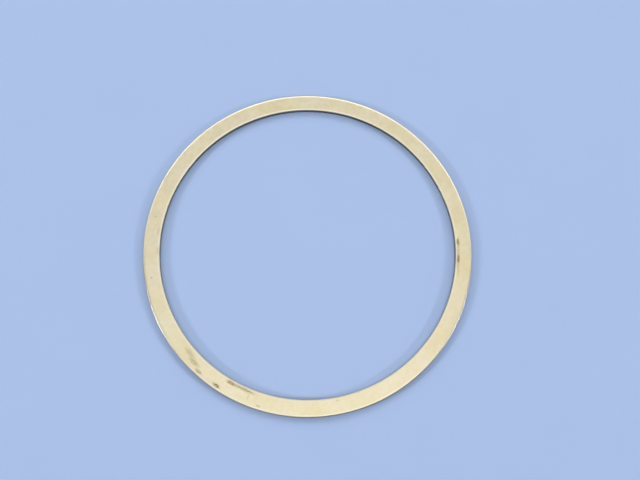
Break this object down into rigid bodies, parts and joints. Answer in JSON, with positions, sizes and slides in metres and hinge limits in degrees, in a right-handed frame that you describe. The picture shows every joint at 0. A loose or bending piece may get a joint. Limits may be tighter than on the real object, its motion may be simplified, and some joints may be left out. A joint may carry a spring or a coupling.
{
  "type": "flat washer",
  "caption": "Thin flat steel ring washer with a wide round hole, rounded upper edges and a satin finish with a pale straw tint.",
  "frame": {"origin": "centre of the underside, on the axis of the hole", "axes": "+Z along the axis of the hole, from the underside to the rolled top face; the ring is round, so +X and +Y are any two directions at right angles in its plane"},
  "size_m": [0.09, 0.09, 0.0015],
  "materials": {
    "washer_steel": "satin, pale straw tint"
  },
  "bodies": {
    "root": {"washer": "washer_steel"}
  },
  "joints": []
}
